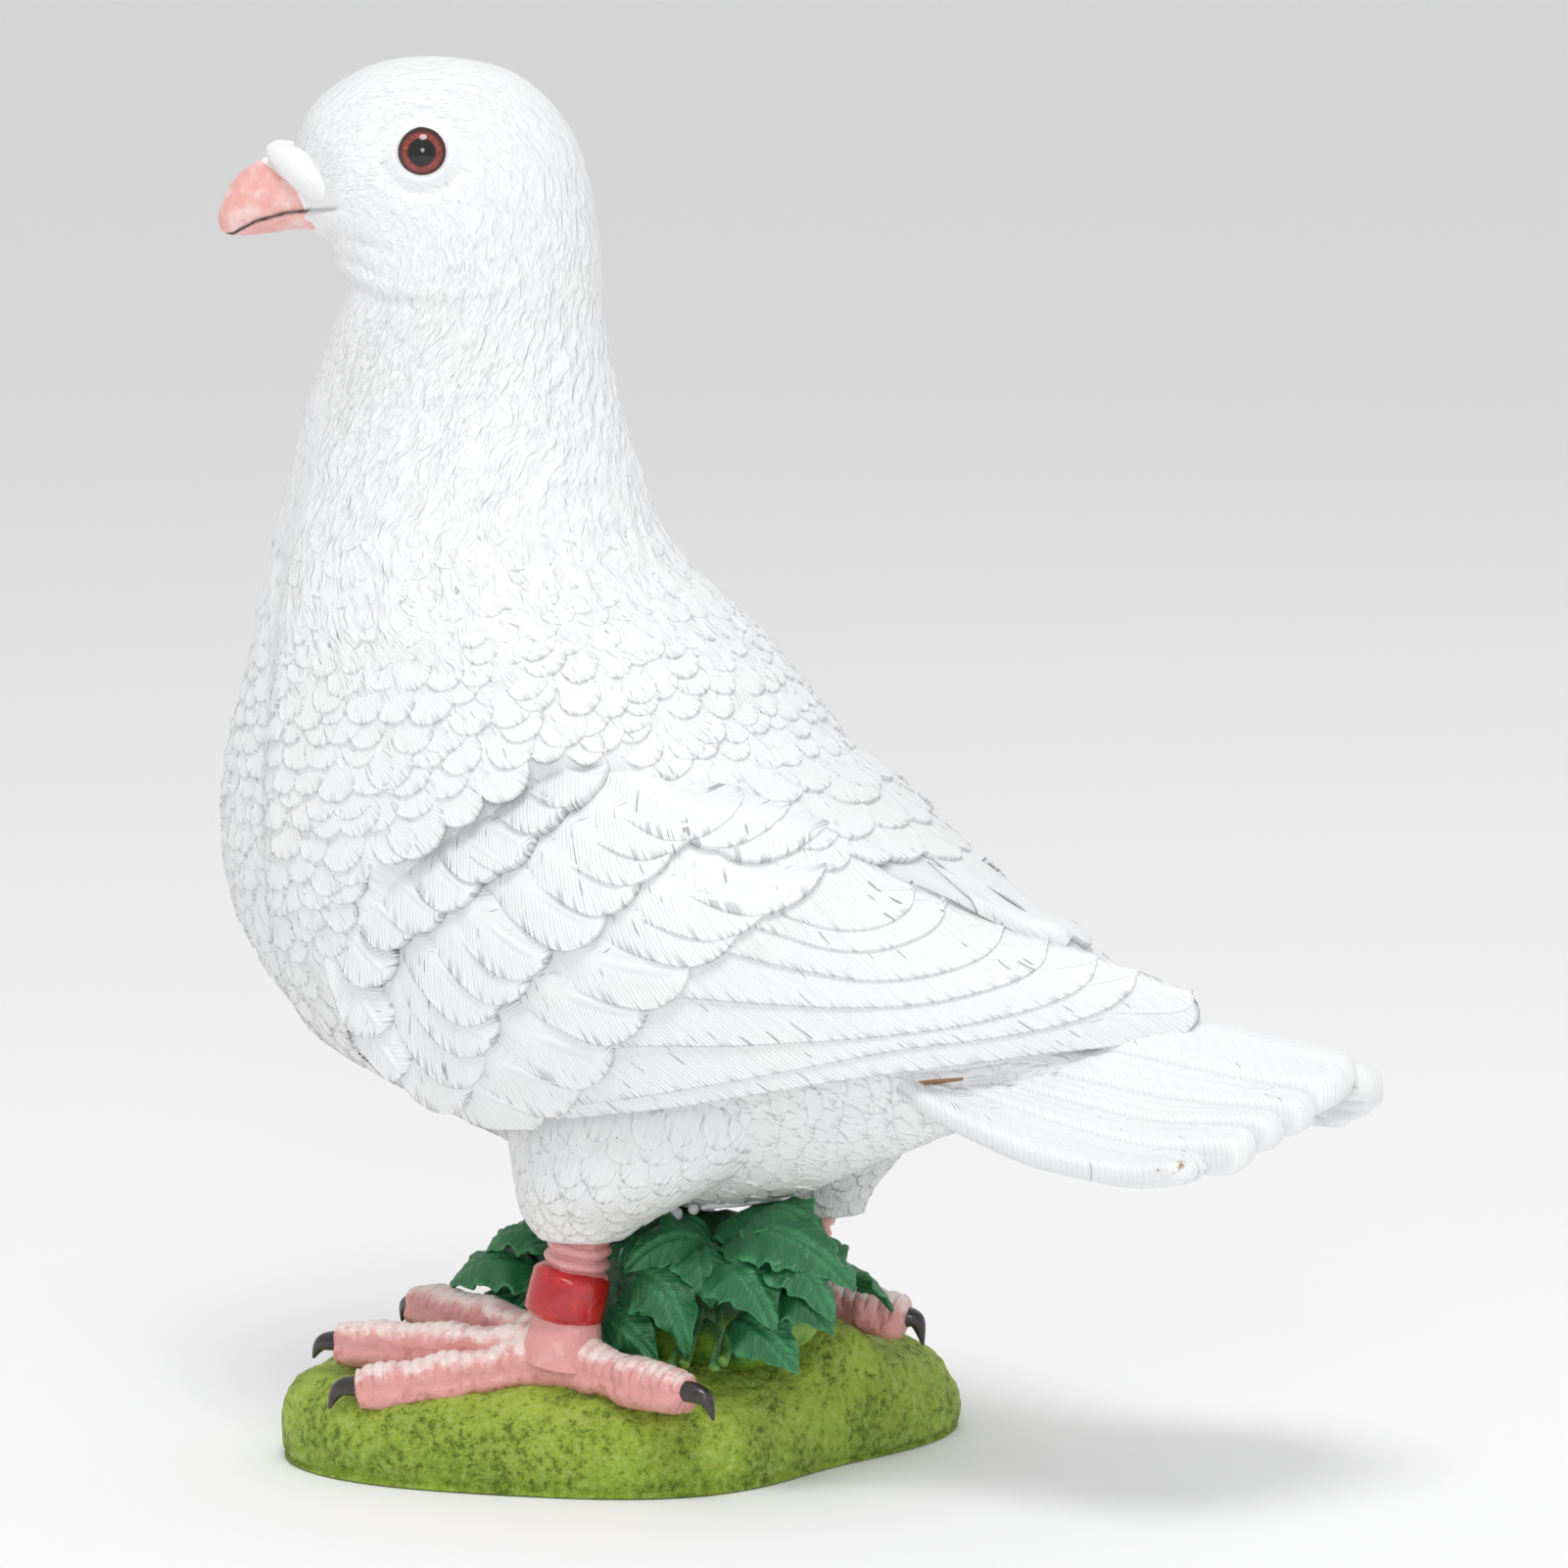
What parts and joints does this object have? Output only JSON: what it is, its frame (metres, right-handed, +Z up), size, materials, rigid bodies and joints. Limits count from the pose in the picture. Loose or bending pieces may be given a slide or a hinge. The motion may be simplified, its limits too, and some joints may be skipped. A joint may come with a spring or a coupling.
{
  "type": "artificial dove",
  "caption": "Life-size white dove of cast, painted resin with carved feathers, standing on a grassy mound with leaves under its belly.",
  "frame": {"origin": "on the mound's flat underside, below the middle of the bird", "axes": "+Z up, the dove faces -Y, its left side is +X and its tail points to +Y"},
  "size_m": [0.1111, 0.213, 0.2433],
  "materials": {
    "white_feathers": "satin white paint over cast feathers, with pink beak and legs, a red band and black claws",
    "painted_grass": "matt yellow-green paint with darker grain",
    "painted_leaves": "semi-gloss dark green paint with paler veins",
    "eye_glass": "polished dome with a red-brown iris and a black pupil"
  },
  "bodies": {
    "root": {"dove": "white_feathers", "left_eye": "eye_glass", "right_eye": "eye_glass", "grass_mound": "painted_grass", "leaf_clump": "painted_leaves"}
  },
  "joints": []
}
